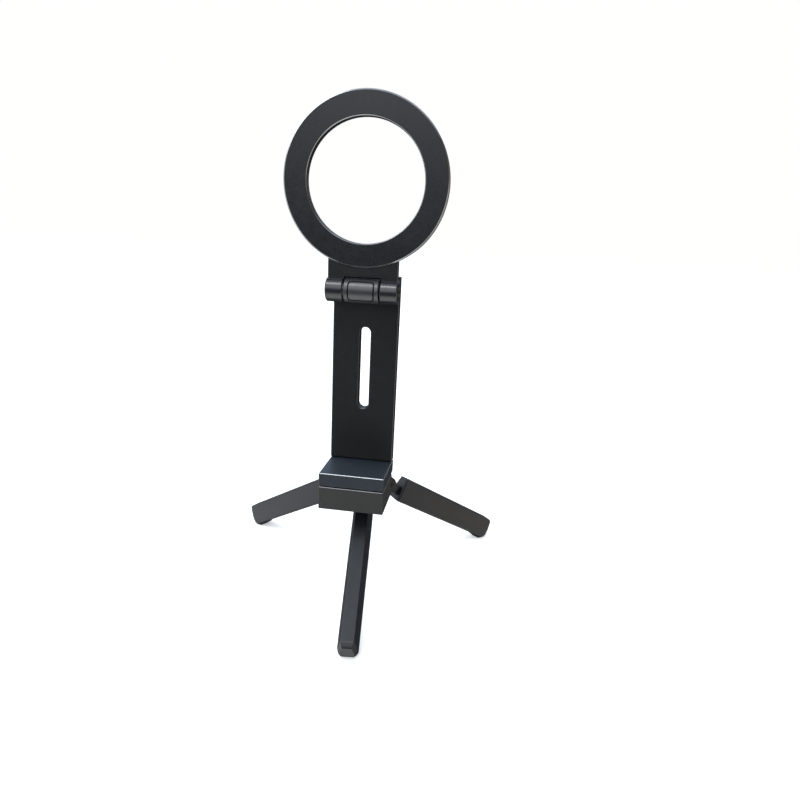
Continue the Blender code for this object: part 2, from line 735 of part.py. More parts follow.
def make_tripod(parent):
    make_head_pad(parent)
    make_lock_ring(parent)
    make_stud(parent)
    make_hub(parent)
    for name, degrees in LEGS.items():
        turn = math.radians(degrees)
        out = Matrix.Rotation(turn, 3, "Z") @ Vector((0, -PIVOT_RADIUS, PIVOT_HEIGHT))
        pivot = make_empty(f"leg_{name}_pivot", out, parent)
        pivot.rotation_euler = (LEG_SLOPE, 0, turn)
        make_leg(name, pivot)
        make_foot_pad(name, pivot)
        make_pivot_pin(name, pivot)


def centre_on_floor(stand):
    """Puts the middle of the bounding box over the origin and the lowest point on the floor."""
    bpy.context.view_layer.update()
    graph = bpy.context.evaluated_depsgraph_get()
    points = []
    for obj in PARTS.objects:
        if obj.type == "MESH":
            shape = obj.evaluated_get(graph)
            points += [obj.matrix_world @ vertex.co for vertex in shape.data.vertices]
    low = Vector(map(min, zip(*points)))
    high = Vector(map(max, zip(*points)))
    stand.location = (-(low.x + high.x) / 2, -(low.y + high.y) / 2, -low.z)


def main():
    stand = make_empty("stand", (0, 0, 0))
    ring_axis = make_empty("ring_hinge_axis", (0, 0, HINGE_HEIGHT), stand)
    make_ring_cover(ring_axis)
    make_ring_frame(ring_axis)
    make_magnets(ring_axis)
    make_hinge_hardware(ring_axis)
    make_arm(stand)
    make_hinge_cover(stand)
    make_slab(stand)
    make_block(stand)
    make_foot_screws(stand)
    make_thread_insert(stand)
    tripod_axis = make_empty("tripod_axis", (0, HUB_Y, 0), stand, HUB_TURN)
    make_tripod(tripod_axis)
    centre_on_floor(stand)


main()
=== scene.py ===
"""Looks for the folding magnetic-ring stand.

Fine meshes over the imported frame, blasted and satin finishes, a pale floor, soft studio light and
the camera. Metres, +Z up, the ring faces -Y.
"""

import math

import bmesh
import bpy
from mathutils import Matrix, Vector


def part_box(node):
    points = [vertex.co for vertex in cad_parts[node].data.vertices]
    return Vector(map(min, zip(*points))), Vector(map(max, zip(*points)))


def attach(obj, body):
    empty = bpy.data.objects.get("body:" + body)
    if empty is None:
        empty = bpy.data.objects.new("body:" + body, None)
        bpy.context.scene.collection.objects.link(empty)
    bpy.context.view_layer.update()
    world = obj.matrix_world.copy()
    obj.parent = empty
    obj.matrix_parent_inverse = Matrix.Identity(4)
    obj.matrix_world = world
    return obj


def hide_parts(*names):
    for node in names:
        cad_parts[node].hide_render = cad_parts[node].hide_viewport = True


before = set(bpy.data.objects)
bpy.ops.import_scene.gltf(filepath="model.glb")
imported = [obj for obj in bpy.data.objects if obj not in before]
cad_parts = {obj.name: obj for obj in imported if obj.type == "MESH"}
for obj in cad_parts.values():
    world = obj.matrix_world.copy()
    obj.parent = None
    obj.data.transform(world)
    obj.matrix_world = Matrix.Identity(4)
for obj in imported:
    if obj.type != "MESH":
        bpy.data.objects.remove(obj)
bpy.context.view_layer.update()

# ---------------------------------------------------------------- where things are, from the frame


def middle_of(node):
    low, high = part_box(node)
    return (low + high) / 2


def size_of(node):
    low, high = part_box(node)
    return high - low


MID_X = middle_of("ring_cover").x
HINGE_Y = middle_of("hinge_screw").y
HINGE_Z = middle_of("hinge_screw").z
RING_Z = middle_of("ring_cover").z
HUB = middle_of("tripod_stud")
ARM_LOW, ARM_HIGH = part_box("arm")
SLAB_LOW, SLAB_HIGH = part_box("foot_slab")
BLOCK_LOW, BLOCK_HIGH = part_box("foot_block")
HUB_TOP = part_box("tripod_hub")[1].z
HUB_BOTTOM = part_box("tripod_hub")[0].z
LEG_NAMES = ("front", "left", "right")

# ---------------------------------------------------------------- dimensions

RING_OUTER = size_of("ring_cover").x / 2
RING_INNER = 0.02135
COVER_FRONT, COVER_BACK = -0.0022, -0.0016
FRAME_FRONT, FRAME_BACK = -0.0014, 0.0016
CHANNEL_INNER, CHANNEL_OUTER, CHANNEL_FLOOR = 0.0226, 0.0287, 0.0010
BARREL_RADIUS = 0.00454
BARREL_HALF = 0.01354
CENTRE_HALF = 0.00655
SIDE_INNER = 0.00695
BORE_RADIUS = 0.0017
NECK_HALF = 0.01315
NECK_FOOT = 0.00495
COVER_WIDTH, COVER_HEIGHT = 0.0094, 0.0066
COVER_MARGIN, COVER_CORNER, COVER_LEVELS = 0.0003, 0.0010, ((0, -0.0054), (0, -0.0024))
POCKET_MARGIN, POCKET_CORNER, POCKET_LEVELS = 0.0007, 0.0014, ((0, -0.00615), (0, -0.00215))
WEB_LOW, WEB_HIGH, WEB_GAP = 0.0036, 0.0022, 0.0002
ARM_HALF = (ARM_HIGH.x - ARM_LOW.x) / 2
ARM_FRONT, ARM_BACK = 0.0073, 0.0117
ARM_TOP, ARM_BOTTOM = ARM_HIGH.z, ARM_LOW.z
SLOT_HALF, SLOT_BOTTOM, SLOT_TOP = 0.00218, HINGE_Z - 0.0476, HINGE_Z - 0.0146
FOOT_HALF = (BLOCK_HIGH.x - BLOCK_LOW.x) / 2
FOOT_FRONT = BLOCK_LOW.y - HINGE_Y
SLAB_BACK, BLOCK_BACK = ARM_BACK, BLOCK_HIGH.y - HINGE_Y
TONGUE_HALF = 0.0095
INSERT_HOLE = 0.0048
SEAT_RADIUS, SEAT_DEPTH = 0.0031, 0.0023
ARM_SCREW_X = 0.0070
BLOCK_SCREW_X, BLOCK_SCREW_Y = 0.0085, -0.0040
HUB_Y = HUB.y - HINGE_Y
HUB_RADIUS = 0.0092
PIVOT_RADIUS = 0.0095
EAR_RADIUS, EAR_HALF = 0.0035, 0.0039
STUD_RADIUS = 0.0031
LEG_LENGTH, LEG_START, LEG_SLOPE = 0.0685, 0.0078, math.radians(30.3)
LEG_ROOT_HALF, LEG_TIP_HALF = 0.00410, 0.00385
LEG_ROOT_DEPTH, LEG_TIP_DEPTH = 0.0054, 0.0049
TONGUE_GAP, LEG_TONGUE_HALF, LEG_TONGUE_RADIUS = 0.0020, 0.0017, 0.0032
PIN_RADIUS = 0.0012
PAD_START, PAD_END, PAD_HALF = LEG_LENGTH - 0.0071, LEG_LENGTH - 0.0017, 0.0026

# ---------------------------------------------------------------- materials


class Nodes:
    """A material's node tree, with a short way to add and link nodes."""

    def __init__(self, name):
        self.material = bpy.data.materials.new(name)
        self.material.use_nodes = True
        self.tree = self.material.node_tree
        self.shader = self.tree.nodes["Principled BSDF"]
        self.coords = self.add("ShaderNodeTexCoord").outputs["Object"]

    def add(self, kind, **settings):
        node = self.tree.nodes.new(kind)
        for key, value in settings.items():
            setattr(node, key, value)
        return node

    def link(self, output, socket):
        self.tree.links.new(output, socket)

    def noise(self, scale, detail=3.0, stretch=None):
        node = self.add("ShaderNodeTexNoise")
        node.inputs["Scale"].default_value = scale
        node.inputs["Detail"].default_value = detail
        source = self.coords
        if stretch:
            mapping = self.add("ShaderNodeMapping")
            mapping.inputs["Scale"].default_value = stretch
            self.link(self.coords, mapping.inputs["Vector"])
            source = mapping.outputs["Vector"]
        self.link(source, node.inputs["Vector"])
        return node.outputs["Fac"]

    def cells(self, scale):
        node = self.add("ShaderNodeTexVoronoi")
        node.inputs["Scale"].default_value = scale
        self.link(self.coords, node.inputs["Vector"])
        return node.outputs["Distance"]

    def spread(self, value, low, high, start=0.3, end=0.7):
        node = self.add("ShaderNodeMapRange")
        node.inputs["From Min"].default_value = start
        node.inputs["From Max"].default_value = end
        node.inputs["To Min"].default_value = low
        node.inputs["To Max"].default_value = high
        self.link(value, node.inputs["Value"])
        return node.outputs["Result"]

    def blend(self, factor, first, second):
        """A mix of two colours, each a colour or the output of another mix."""
        node = self.add("ShaderNodeMix", data_type="RGBA")
        self.link(factor, node.inputs[0])
        for socket, colour in ((node.inputs[6], first), (node.inputs[7], second)):
            if isinstance(colour, tuple):
                socket.default_value = (*colour, 1.0)
            else:
                self.link(colour, socket)
        return node.outputs[2]

    def sum(self, first, second, weight):
        node = self.add("ShaderNodeMath", operation="MULTIPLY_ADD")
        self.link(second, node.inputs[0])
        node.inputs[1].default_value = weight
        self.link(first, node.inputs[2])
        return node.outputs[0]

    def bump(self, height, distance, strength=1.0):
        node = self.add("ShaderNodeBump")
        node.inputs["Strength"].default_value = strength
        node.inputs["Distance"].default_value = distance
        self.link(height, node.inputs["Height"])
        self.link(node.outputs["Normal"], self.shader.inputs["Normal"])

    def finish(self, colour, roughness, metallic=0.0, specular=0.5):
        self.link(colour, self.shader.inputs["Base Color"])
        self.link(roughness, self.shader.inputs["Roughness"])
        self.shader.inputs["Metallic"].default_value = metallic
        self.shader.inputs["Specular IOR Level"].default_value = specular
        return self.material


BLASTED_GRAIN, FACE_GRAIN = 0.0000035, 0.0000015


def blasted(name, dark, light, roughness, specular=0.5, grain=BLASTED_GRAIN):
    """Black finish over a blasted surface: broad drift in tone, cloudy gloss and a fine grain."""
    n = Nodes(name)
    drift = n.noise(38.0, 4.0)
    cloud = n.noise(420.0, 3.0)
    fine = n.noise(3600.0, 2.0)
    tone = n.blend(n.spread(n.sum(drift, fine, 0.25), 0.0, 1.0, 0.42, 0.82), dark, light)
    gloss = n.spread(n.sum(cloud, fine, 0.5), roughness - 0.05, roughness + 0.06, 0.45, 1.05)
    n.bump(n.sum(fine, n.cells(2100.0), 0.6), grain)
    return n.finish(tone, gloss, 0.0, specular)


def worn_edge(name, dark, light, roughness):
    """A chamfer: the finish is thinner there, and rubbed through to metal in places."""
    n = Nodes(name)
    rub = n.noise(260.0, 3.0)
    fine = n.noise(5200.0, 2.0)
    tone = n.blend(n.spread(n.sum(rub, fine, 0.2), 0.0, 1.0, 0.4, 0.85), dark, light)
    n.bump(fine, 0.0000008)
    return n.finish(tone, n.spread(rub, roughness - 0.03, roughness + 0.05), 1.0)


def turned_metal(name, dark, light, roughness, along):
    """Bare metal with fine tool marks across the direction along."""
    n = Nodes(name)
    marks = n.noise(900.0, 3.0, tuple(9.0 if axis == along else 0.6 for axis in "XYZ"))
    cloud = n.noise(260.0, 3.0)
    tone = n.blend(n.spread(n.sum(cloud, marks, 0.5), 0.0, 1.0, 0.5, 1.0), dark, light)
    n.bump(marks, 0.000004)
    return n.finish(tone, n.spread(marks, roughness - 0.06, roughness + 0.1), 1.0)


def moulded_rubber(name, dark, light):
    n = Nodes(name)
    fine = n.noise(2600.0, 4.0)
    dust = n.noise(300.0, 4.0)
    tone = n.blend(n.spread(n.sum(dust, fine, 0.4), 0.0, 1.0, 0.5, 0.95), dark, light)
    n.bump(n.sum(fine, n.cells(1500.0), 0.5), 0.00002)
    return n.finish(tone, n.spread(fine, 0.72, 0.88), 0.0, 0.35)


SATIN = blasted("satin_black", (0.0040, 0.0041, 0.0043), (0.0072, 0.0074, 0.0077), 0.40, 0.45)
SLAB_BLACK = blasted("slab_black", (0.0112, 0.0168, 0.0225), (0.0182, 0.0260, 0.0345), 0.42)
RING_BLACK = blasted(
    "ring_face_black", (0.0042, 0.0052, 0.0068), (0.0080, 0.0092, 0.0114), 0.28, 0.55, FACE_GRAIN
)
BARREL_BLACK = blasted(
    "barrel_black", (0.0060, 0.0072, 0.0092), (0.0110, 0.0125, 0.0150), 0.22, 0.65
)
KNUCKLE_BLACK = blasted(
    "cover_black", (0.0130, 0.0145, 0.0165), (0.0225, 0.0245, 0.0272), 0.34, 0.8
)
BLOCK_BLACK = blasted("block_black", (0.0200, 0.0198, 0.0185), (0.0290, 0.0286, 0.0262), 0.58, 0.4)
LEG_GREY = blasted("leg_grey", (0.0070, 0.0080, 0.0098), (0.0122, 0.0138, 0.0164), 0.34, 0.45)
EDGE = worn_edge("worn_edge", (0.085, 0.087, 0.090), (0.14, 0.142, 0.147), 0.30)
BRIGHT_EDGE = worn_edge("cut_edge", (0.25, 0.255, 0.265), (0.34, 0.345, 0.355), 0.26)
DARK_STEEL = turned_metal(
    "black_oxide_steel", (0.045, 0.046, 0.050), (0.11, 0.11, 0.115), 0.34, "X"
)
ZINC = turned_metal("zinc_plated_steel", (0.42, 0.42, 0.43), (0.60, 0.60, 0.60), 0.28, "Z")
NICKEL = turned_metal("nickel_plate", (0.50, 0.49, 0.46), (0.66, 0.64, 0.60), 0.24, "Y")
BRASS = turned_metal("turned_brass", (0.52, 0.38, 0.16), (0.74, 0.58, 0.30), 0.30, "Z")
RUBBER = moulded_rubber("moulded_rubber", (0.0120, 0.0120, 0.0125), (0.0260, 0.0255, 0.0250))

# ---------------------------------------------------------------- mesh tools

FRONTAL = Matrix(((1, 0, 0, MID_X), (0, 0, 1, HINGE_Y), (0, 1, 0, 0), (0, 0, 0, 1)))
LEVEL = Matrix.Translation((MID_X, HINGE_Y, 0))
RING_FRONTAL = Matrix.Translation((0, 0, RING_Z)) @ FRONTAL
BARREL_AXIS = Matrix(((0, 0, 1, MID_X), (1, 0, 0, HINGE_Y), (0, 1, 0, HINGE_Z), (0, 0, 0, 1)))
ACROSS = Matrix(((0, 0, 1, 0), (1, 0, 0, 0), (0, 1, 0, 0), (0, 0, 0, 1)))
HUB_LEVEL = Matrix.Translation((HUB.x, HUB.y, 0))
WELD = 0.0000005
SHALLOW_CORNER = math.radians(155)
LEAST_CHAMFER = 0.00008
SCREW_CHAMFER = 0.0002


def arc(centre, radius, start, end, count):
    """Points on an arc, angles in degrees, both ends included."""
    turns = [math.radians(start + (end - start) * i / count) for i in range(count + 1)]
    return [(centre[0] + radius * math.cos(t), centre[1] + radius * math.sin(t)) for t in turns]


def ease(points, radius, count=3, closed=True):
    """Rounds each real corner of a polyline, and leaves the shallow ones of an arc alone."""
    out = []
    total = len(points)
    for i, point in enumerate(points):
        here = Vector(point)
        before, after = Vector(points[i - 1]), Vector(points[(i + 1) % total])
        end = not closed and i in (0, total - 1)
        back, forth = before - here, after - here
        short = min(back.length, forth.length) < WELD
        if end or short or abs(back.angle(forth, 0)) > SHALLOW_CORNER:
            out.append(tuple(point))
            continue
        start = here + back.normalized() * min(radius, 0.45 * back.length)
        stop = here + forth.normalized() * min(radius, 0.45 * forth.length)
        for step in range(count + 1):
            t = step / count
            out.append(tuple(start * (1 - t) ** 2 + here * 2 * t * (1 - t) + stop * t * t))
    return out


def inset(loop, distance):
    """A loop moved to its left by a distance, which is inwards for one drawn anticlockwise."""
    moved = []
    for i, (x, y) in enumerate(loop):
        first = Vector((x - loop[i - 1][0], y - loop[i - 1][1])).normalized()
        after = loop[(i + 1) % len(loop)]
        second = Vector((after[0] - x, after[1] - y)).normalized()
        scale = distance / max(1 + first.dot(second), 0.3)
        moved.append((x - (first.y + second.y) * scale, y + (first.x + second.x) * scale))
    return moved


def edge_levels(start, end, chamfer):
    """Insets and heights down a plate's side: flat chamfers top and bottom, their corners eased."""
    soft = 0.3 * chamfer
    turn = [(chamfer + soft, 0.0), (chamfer - 0.7 * soft, 0.7 * soft)]
    turn += [(0.7 * soft, chamfer - 0.7 * soft), (0.0, chamfer + soft)]
    sign = 1 if end > start else -1
    first = [(i, start + sign * h) for i, h in turn]
    return first + [(i, end - sign * h) for i, h in reversed(turn)]


def is_chamfer(a, b):
    across, down = abs(a[0] - b[0]), abs(a[1] - b[1])
    return min(across, down) > 0.45 * math.hypot(across, down) and across > LEAST_CHAMFER


def settle(bm, matrix):
    """Moves a closed mesh into place and turns its faces outwards, even if the matrix mirrors."""
    bm.transform(matrix)
    bmesh.ops.recalc_face_normals(bm, faces=bm.faces)
    if bm.calc_volume(signed=True) < 0:
        bmesh.ops.reverse_faces(bm, faces=bm.faces)
    return bm


def prism(loops, levels, matrix, edge_slot=1):
    """A plate with shaped edges, from its outline, anticlockwise, and any holes, clockwise."""
    bm = bmesh.new()
    ends = ([], [])
    for loop in loops:
        rings = []
        for distance, height in levels:
            rings.append([bm.verts.new((x, y, height)) for x, y in inset(loop, distance)])
        for k, (upper, lower) in enumerate(zip(rings, rings[1:])):
            for i in range(len(loop)):
                j = (i + 1) % len(loop)
                face = bm.faces.new((upper[i], upper[j], lower[j], lower[i]))
                face.material_index = edge_slot if is_chamfer(levels[k], levels[k + 1]) else 0
        for ring, found in ((rings[0], ends[0]), (rings[-1], ends[1])):
            found += [bm.edges.get((ring[i - 1], ring[i])) for i in range(len(ring))]
    for edges in ends:
        bmesh.ops.triangle_fill(bm, use_beauty=True, use_dissolve=False, edges=edges)
    return settle(bm, matrix)


def lathe(profile, steps, matrix, closed=True, edge_slot=1):
    """A profile of (radius, height) points turned about Z. Points on the axis become poles."""
    bm = bmesh.new()
    turns = [2 * math.pi * i / steps for i in range(steps)]
    rings = []
    for radius, height in profile:
        if radius < WELD:
            rings.append([bm.verts.new((0, 0, height))] * steps)
        else:
            around = [(radius * math.cos(t), radius * math.sin(t), height) for t in turns]
            rings.append([bm.verts.new(point) for point in around])
    pairs = list(zip(range(len(rings)), range(1, len(rings))))
    if closed:
        pairs.append((len(rings) - 1, 0))
    for a, b in pairs:
        for i in range(steps):
            j = (i + 1) % steps
            corners = []
            for vert in (rings[a][i], rings[a][j], rings[b][j], rings[b][i]):
                if vert not in corners:
                    corners.append(vert)
            face = bm.faces.new(corners)
            face.material_index = edge_slot if is_chamfer(profile[a], profile[b]) else 0
    return settle(bm, matrix)


def loft(sections, matrix):
    """A closed skin over rings of the same number of points."""
    bm = bmesh.new()
    rings = [[bm.verts.new(point) for point in section] for section in sections]
    for first, second in zip(rings, rings[1:]):
        for i in range(len(first)):
            j = (i + 1) % len(first)
            bm.faces.new((first[i], first[j], second[j], second[i]))
    for ring in (rings[0], rings[-1]):
        bm.faces.new(ring)
    return settle(bm, matrix)


def box(low, high, matrix):
    bm = bmesh.new()
    low, high = Vector(low), Vector(high)
    bmesh.ops.create_cube(bm, size=1.0)
    bmesh.ops.scale(bm, vec=high - low, verts=bm.verts)
    bmesh.ops.translate(bm, vec=(low + high) / 2, verts=bm.verts)
    return settle(bm, matrix)


def cylinder(radius, start, end, matrix, steps=48):
    return lathe([(0, start), (radius, start), (radius, end), (0, end)], steps, matrix, False, 0)


def hexagon(radius, start, end, matrix):
    return cylinder(radius, start, end, matrix, 6)


def screw(head, shank, start, under, end, matrix, steps):
    """A cap head and a plain shank along Z, with small chamfers at both ends."""
    profile = [
        (0, start),
        (head - SCREW_CHAMFER, start),
        (head, start + SCREW_CHAMFER),
        (head, under),
        (shank, under),
        (shank, end - SCREW_CHAMFER),
        (shank - SCREW_CHAMFER, end),
        (0, end),
    ]
    return lathe(ease(profile, 0.00008, closed=False), steps, matrix, False)


def socket(radius, start, matrix):
    """The cutter for a hex socket in a head that starts at a height."""
    return hexagon(radius, start - 0.0005, start + 0.0009, matrix)


def rounded_rectangle(width, height, radius, count=10):
    x, y = width / 2 - radius, height / 2 - radius
    corners = (((x, y), 0), ((-x, y), 90), ((-x, -y), 180), ((x, -y), 270))
    return [p for centre, start in corners for p in arc(centre, radius, start, start + 90, count)]


def at_hinge(outline):
    """An outline drawn about the hinge, moved up to it."""
    return [(x, z + HINGE_Z) for x, z in outline]


def make(name, bm, materials):
    mesh = bpy.data.meshes.new(name)
    bm.to_mesh(mesh)
    bm.free()
    for material in materials:
        mesh.materials.append(material)
    obj = bpy.data.objects.new(name, mesh)
    bpy.context.scene.collection.objects.link(obj)
    return obj


def repaint(bm, slot):
    for face in bm.faces:
        face.material_index = slot
    return bm


def piece(
    name, bm, materials, body, nodes, joined=(), cut=(), common=(), bevel=0.0, sharp=32
):
    """A shown piece: one mesh, others joined to it or cut from it, in place of CAD nodes."""
    obj = make(name, bm, materials)
    helpers = []
    steps = [(other, "UNION") for other in joined]
    steps += [(other, "DIFFERENCE") for other in cut]
    steps += [(other, "INTERSECT") for other in common]
    for other, operation in steps:
        helper = make(name + "_helper", other, materials)
        helpers.append(helper)
        modifier = obj.modifiers.new(operation, "BOOLEAN")
        modifier.operation = operation
        modifier.solver = "EXACT"
        modifier.object = helper
    if bevel:
        modifier = obj.modifiers.new("edges", "BEVEL")
        modifier.width = bevel
        modifier.segments = 2
        modifier.limit_method = "ANGLE"
        modifier.angle_limit = math.radians(38)
        modifier.use_clamp_overlap = True
    if steps or bevel:
        graph = bpy.context.evaluated_depsgraph_get()
        mesh = bpy.data.meshes.new_from_object(obj.evaluated_get(graph))
        obj.modifiers.clear()
        obj.data = mesh
        mesh.name = name
        for helper in helpers:
            bpy.data.objects.remove(helper, do_unlink=True)
    obj.data.shade_smooth()
    obj.data.set_sharp_from_angle(angle=math.radians(sharp))
    weighted = obj.modifiers.new("weighted_normals", "WEIGHTED_NORMAL")
    weighted.keep_sharp = True
    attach(obj, body)
    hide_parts(*nodes)
    return obj


# ---------------------------------------------------------------- ring head


def build_ring_cover():
    inner_edge, outer_edge = 0.0004, 0.00055
    profile = [
        (RING_INNER, COVER_BACK),
        (RING_INNER, COVER_FRONT + inner_edge),
        (RING_INNER + inner_edge, COVER_FRONT),
        (RING_OUTER - outer_edge, COVER_FRONT),
        (RING_OUTER, COVER_FRONT + outer_edge),
        (RING_OUTER, COVER_BACK),
    ]
    bm = lathe(ease(profile, 0.00011), 288, RING_FRONTAL)
    piece("ring_face", bm, [RING_BLACK, BRIGHT_EDGE], "ring_head", ["ring_cover"])


def knuckle_profile(inner, outer):
    """One outer knuckle, from its inner to its outer end along the barrel, with its recesses."""
    sign = 1 if outer > inner else -1
    seat = inner + sign * 0.0007
    pocket = outer - sign * 0.0018
    edge = sign * 0.00035
    return [
        (0.0032, inner),
        (BARREL_RADIUS - abs(edge), inner),
        (BARREL_RADIUS, inner + edge),
        (BARREL_RADIUS, outer - edge),
        (BARREL_RADIUS - abs(edge), outer),
        (0.0030, outer),
        (0.0030, pocket),
        (BORE_RADIUS, pocket),
        (BORE_RADIUS, seat),
        (0.0032, seat),
    ]


def build_ring_frame():
    edge = 0.0005
    profile = [
        (CHANNEL_OUTER, FRAME_FRONT),
        (RING_OUTER, FRAME_FRONT),
        (RING_OUTER, FRAME_BACK - edge),
        (RING_OUTER - edge, FRAME_BACK),
        (RING_INNER + edge, FRAME_BACK),
        (RING_INNER, FRAME_BACK - edge),
        (RING_INNER, FRAME_FRONT),
        (CHANNEL_INNER, FRAME_FRONT),
        (CHANNEL_INNER, CHANNEL_FLOOR),
        (CHANNEL_OUTER, CHANNEL_FLOOR),
    ]
    ring = lathe(ease(profile, 0.00012), 256, RING_FRONTAL)
    rim = (RING_OUTER + CHANNEL_OUTER) / 2
    rise = RING_Z - HINGE_Z
    reach = math.degrees(math.acos(NECK_HALF / rim))
    outline = [(SIDE_INNER, 0), (NECK_HALF, 0)]
    outline += arc((0, rise), rim, -reach, reach - 180, 48)
    outline += [(-NECK_HALF, 0), (-SIDE_INNER, 0)]
    outline += [(-SIDE_INNER, NECK_FOOT), (SIDE_INNER, NECK_FOOT)]
    neck = prism([at_hinge(outline)], edge_levels(FRAME_FRONT, FRAME_BACK, 0.00025), FRONTAL)
    joined = [neck]
    for sign in (-1, 1):
        profile = ease(knuckle_profile(sign * SIDE_INNER, sign * BARREL_HALF), 0.0001)
        joined.append(repaint(lathe(profile, 128, BARREL_AXIS), 2))
    piece(
        "ring_back_and_neck",
        ring,
        [SATIN, EDGE, BARREL_BLACK],
        "ring_head",
        ["ring_frame"],
        joined=joined,
    )


def build_hinge_hardware():
    head, shank = 0.0027, 0.0015
    start = -BARREL_HALF + 0.0003
    under, end = -BARREL_HALF + 0.0015, BARREL_HALF - 0.0006
    piece(
        "hinge_screw_fine",
        screw(head, shank, start, under, end, BARREL_AXIS, 64),
        [DARK_STEEL, EDGE],
        "ring_head",
        ["hinge_screw"],
        cut=[socket(0.00125, start, BARREL_AXIS)],
    )
    near, far = BARREL_HALF - 0.0015, BARREL_HALF - 0.0003
    inner = shank + 0.0002
    profile = [
        (inner, near),
        (head, near),
        (head, far - SCREW_CHAMFER),
        (head - SCREW_CHAMFER, far),
        (inner, far),
    ]
    nut = lathe(ease(profile, 0.00006), 64, BARREL_AXIS)
    notches = []
    for offset in (-0.0025, 0.0025):
        low = (-0.0004, offset - 0.0005, far - 0.0006)
        high = (0.0004, offset + 0.0005, far + 0.001)
        notches.append(box(low, high, BARREL_AXIS))
    finish = [DARK_STEEL, EDGE]
    piece("hinge_nut_fine", nut, finish, "ring_head", ["hinge_nut"], cut=notches)


# ---------------------------------------------------------------- bracket


def build_arm():
    outline = [
        (-ARM_HALF, ARM_BOTTOM),
        (ARM_HALF, ARM_BOTTOM),
        (ARM_HALF, ARM_TOP),
        (-ARM_HALF, ARM_TOP),
    ]
    low, high = SLOT_BOTTOM + SLOT_HALF, SLOT_TOP - SLOT_HALF
    slot = arc((0, high), SLOT_HALF, 180, 0, 32) + arc((0, low), SLOT_HALF, 0, -180, 32)
    plate = prism([ease(outline, 0.0003), slot], edge_levels(ARM_FRONT, ARM_BACK, 0.0003), FRONTAL)
    half = CENTRE_HALF
    profile = [
        (BORE_RADIUS, -half),
        (BARREL_RADIUS - 0.00025, -half),
        (BARREL_RADIUS, -half + 0.00025),
        (BARREL_RADIUS, half - 0.00025),
        (BARREL_RADIUS - 0.00025, half),
        (BORE_RADIUS, half),
    ]
    knuckle = repaint(lathe(ease(profile, 0.00009), 128, BARREL_AXIS), 2)
    web = box(
        (-half + WEB_GAP, 0.0, HINGE_Z - WEB_LOW),
        (half - WEB_GAP, ARM_FRONT + 0.001, HINGE_Z + WEB_HIGH),
        LEVEL,
    )
    outline = rounded_rectangle(
        COVER_WIDTH + POCKET_MARGIN, COVER_HEIGHT + POCKET_MARGIN, POCKET_CORNER
    )
    pocket = prism([at_hinge(outline)], POCKET_LEVELS, FRONTAL)
    piece(
        "arm_plate",
        plate,
        [SATIN, EDGE, KNUCKLE_BLACK],
        "bracket",
        ["arm"],
        joined=[web, knuckle],
        cut=[repaint(pocket, 2)],
    )


def build_hinge_cover():
    outline = rounded_rectangle(
        COVER_WIDTH - COVER_MARGIN, COVER_HEIGHT - COVER_MARGIN, COVER_CORNER
    )
    cover = prism([at_hinge(outline)], COVER_LEVELS, FRONTAL)
    skin = cylinder(BARREL_RADIUS + 0.0001, -0.01, 0.01, BARREL_AXIS, 160)
    piece(
        "hinge_cover_fine",
        cover,
        [KNUCKLE_BLACK, EDGE],
        "bracket",
        ["hinge_cover"],
        common=[skin],
        bevel=0.00018,
    )


def screw_seats(x, y, bottom):
    """Counterbores for a pair of screws, cut up into a face that looks down."""
    spots = [LEVEL @ Matrix.Translation((sign * x, y, 0)) for sign in (-1, 1)]
    return [cylinder(SEAT_RADIUS, bottom - 0.001, bottom + SEAT_DEPTH, spot) for spot in spots]


def build_foot():
    outline = [(FOOT_HALF, FOOT_FRONT), (FOOT_HALF, SLAB_BACK), (TONGUE_HALF, SLAB_BACK)]
    outline += arc((0, HUB_Y), TONGUE_HALF, 0, 180, 40)
    outline += [(-TONGUE_HALF, SLAB_BACK), (-FOOT_HALF, SLAB_BACK), (-FOOT_HALF, FOOT_FRONT)]
    hole = arc((0, HUB_Y), INSERT_HOLE, 360, 0, 48)[:-1]
    levels = edge_levels(SLAB_HIGH.z, SLAB_LOW.z, 0.00035)
    piece(
        "foot_upper_slab",
        prism([ease(outline, 0.00045), hole], levels, LEVEL),
        [SLAB_BLACK, BRIGHT_EDGE],
        "bracket",
        ["foot_slab"],
        cut=screw_seats(ARM_SCREW_X, (ARM_FRONT + ARM_BACK) / 2, SLAB_LOW.z),
    )
    outline = [
        (-FOOT_HALF, FOOT_FRONT),
        (FOOT_HALF, FOOT_FRONT),
        (FOOT_HALF, BLOCK_BACK),
        (-FOOT_HALF, BLOCK_BACK),
    ]
    levels = edge_levels(BLOCK_HIGH.z, BLOCK_LOW.z, 0.00035)
    piece(
        "foot_lower_block",
        prism([ease(outline, 0.0005)], levels, LEVEL),
        [BLOCK_BLACK, EDGE],
        "bracket",
        ["foot_block"],
        cut=screw_seats(BLOCK_SCREW_X, BLOCK_SCREW_Y, BLOCK_LOW.z),
    )


def build_cap_screws():
    head, shank, head_height = 0.0027, 0.00135, 0.0017
    for side in ("left", "right"):
        for kind in ("arm_screw", "block_screw"):
            node = f"{kind}_{side}"
            low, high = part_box(node)
            spot = Matrix.Translation(((low.x + high.x) / 2, (low.y + high.y) / 2, 0))
            piece(
                node + "_fine",
                screw(head, shank, low.z, low.z + head_height, high.z, spot, 48),
                [DARK_STEEL, EDGE],
                "bracket",
                [node],
                cut=[socket(0.0013, low.z, spot)],
            )


# ---------------------------------------------------------------- tripod


